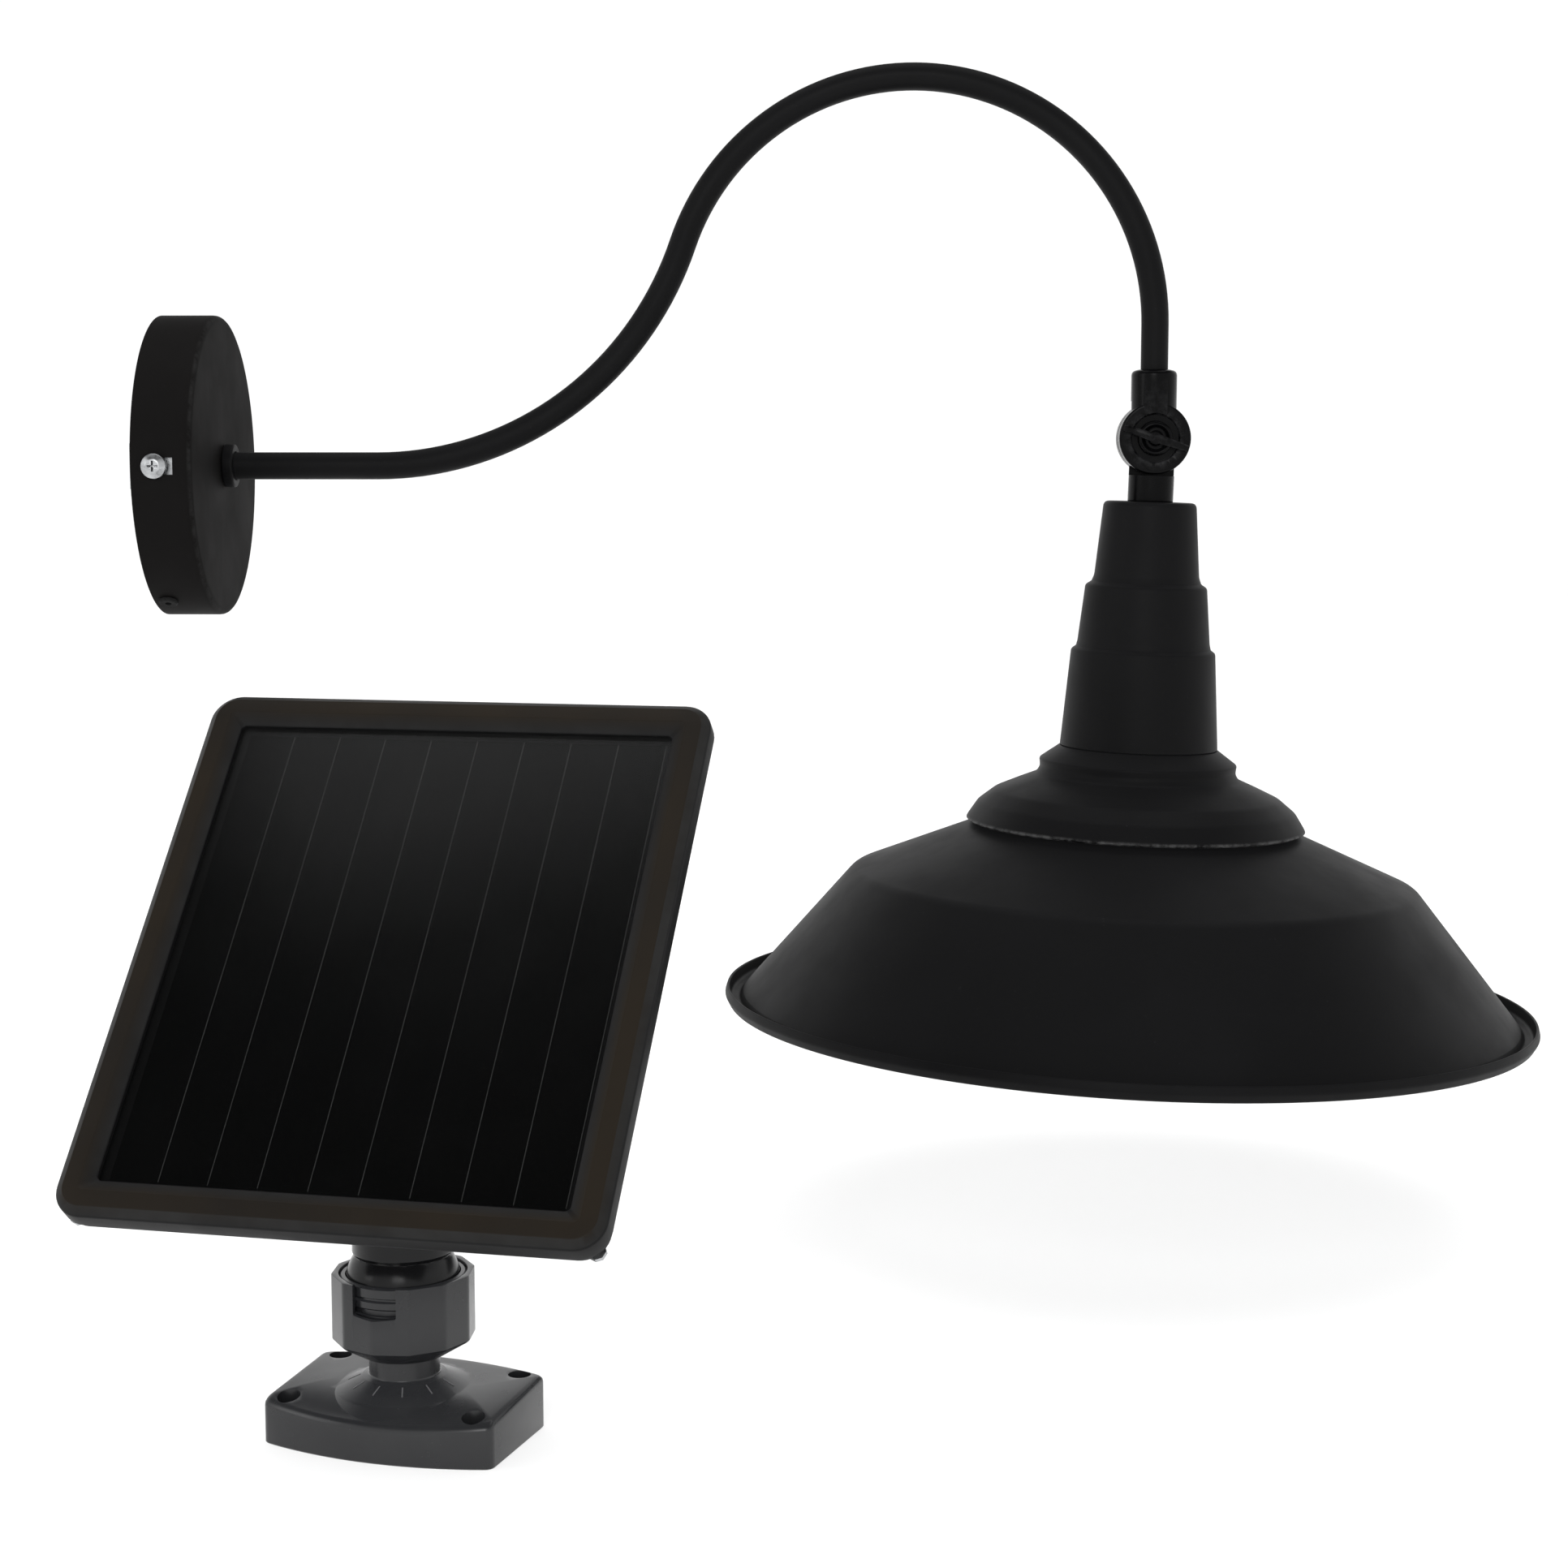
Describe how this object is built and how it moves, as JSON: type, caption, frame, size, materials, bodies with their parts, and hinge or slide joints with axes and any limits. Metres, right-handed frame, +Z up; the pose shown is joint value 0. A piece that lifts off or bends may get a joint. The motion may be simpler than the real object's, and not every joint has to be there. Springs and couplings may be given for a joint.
{
  "type": "solar gooseneck wall lamp",
  "caption": "Gooseneck wall lamp with a bell shade on a tilting knuckle, and a separate solar panel on a ball-jointed screw-down base.",
  "frame": {"origin": "centre of the wall bracket's back face, on the wall plane", "axes": "+X out of the wall along the straight start of the arm, +Z up, -Y towards the side where the panel unit stands"},
  "size_m": [0.5092, 0.4669, 0.4295],
  "materials": {
    "black_paint": "satin black powder coat on sheet steel",
    "black_cast": "satin black powder coat on cast aluminium",
    "black_metal": "black oxide on steel",
    "zinc": "bright zinc plate",
    "panel_plastic": "fine satin black",
    "mount_plastic": "dark grey semi-gloss",
    "ball_plastic": "black gloss",
    "rubber": "matte black",
    "cell": "dark silicon strip under laminate",
    "panel_glass": "clear",
    "back_sheet": "matte dark grey",
    "cell_wrap": "blue shrink wrap",
    "board": "green circuit board",
    "led_board": "white solder mask",
    "led_chip": "yellow phosphor",
    "white_plastic": "white",
    "diffuser": "frosted white"
  },
  "bodies": {
    "wall_unit": {"wall_bracket": "zinc", "canopy_cup": "black_paint", "canopy_screw_near": "zinc", "canopy_screw_far": "zinc", "arm_lock_ring": "black_metal", "arm_washer": "zinc", "arm_back_nut": "zinc", "cable_grommet": "rubber", "gooseneck_arm": "black_paint", "knuckle_upper": "black_cast", "knuckle_nut": "black_metal", "panel_base": "mount_plastic"},
    "lamp_head": {"knuckle_lower": "black_cast", "neck_cover": "black_paint", "shade_cap": "black_cast", "shade": "black_paint", "stem_nut": "zinc", "battery_holder": "ball_plastic", "battery_cell": "cell_wrap", "control_board": "board", "module_housing": "black_cast", "module_screw_1": "zinc", "module_screw_2": "zinc", "module_screw_3": "zinc", "led_board": "led_board", "led_array": "led_chip", "reflector": "white_plastic", "diffuser_lens": "diffuser", "lens_ring": "black_cast", "button_sleeve": "white_plastic"},
    "thumb_screw": {"knuckle_thumb_screw": "black_metal"},
    "button": {"power_button": "rubber"},
    "collar": {"clamp_collar": "mount_plastic"},
    "socket_ring": {"ball_collet": "mount_plastic"},
    "socket_pad": {"ball_pad": "rubber"},
    "panel": {"ball_arm": "ball_plastic", "arm_screw_1": "zinc", "arm_screw_2": "zinc", "arm_screw_3": "zinc", "arm_screw_4": "zinc", "panel_frame": "panel_plastic", "rear_housing": "panel_plastic", "back_sheet": "back_sheet", "cell_strip_1": "cell", "cell_strip_2": "cell", "cell_strip_3": "cell", "cell_strip_4": "cell", "cell_strip_5": "cell", "cell_strip_6": "cell", "cell_strip_7": "cell", "cell_strip_8": "cell", "cell_strip_9": "cell", "panel_glass": "panel_glass", "panel_screw_1": "zinc", "panel_screw_2": "zinc", "panel_screw_3": "zinc", "panel_screw_4": "zinc", "cable_gland": "rubber"}
  },
  "joints": [
    {"name": "head_tilt", "type": "hinge", "parent": "wall_unit", "child": "lamp_head", "pos_m": [0.3653, 0, 0.01], "axis": [0, 1, 0], "range_deg": [-40, 40]},
    {"name": "thumb_screw_turn", "type": "hinge", "parent": "wall_unit", "child": "thumb_screw", "pos_m": [0.3653, 0, 0.01], "axis": [0, 1, 0], "range_deg": [-90, 180]},
    {"name": "button_press", "type": "slide", "parent": "lamp_head", "child": "button", "axis": [0.0332, 0, 0.9995], "range_m": [0, 0.0012], "stiffness_N_per_m": 600, "springref_m": -0.0005},
    {"name": "collar_turn", "type": "hinge", "parent": "wall_unit", "child": "collar", "pos_m": [0.122, -0.24, -0.238], "axis": [0, 0, 1], "range_deg": [-90, 90]},
    {"name": "panel_pan", "type": "hinge", "parent": "wall_unit", "child": "socket_ring", "pos_m": [0.122, -0.24, -0.238], "axis": [0, 0, 1], "range_deg": [-60, 60]},
    {"name": "panel_tilt", "type": "hinge", "parent": "socket_ring", "child": "socket_pad", "pos_m": [0.122, -0.24, -0.238], "axis": [0.9767, -0.2147, 0], "range_deg": [-18, 18]},
    {"name": "panel_lean", "type": "hinge", "parent": "socket_pad", "child": "panel", "pos_m": [0.122, -0.24, -0.238], "axis": [0.2147, 0.9767, 0], "range_deg": [-12, 12]}
  ]
}
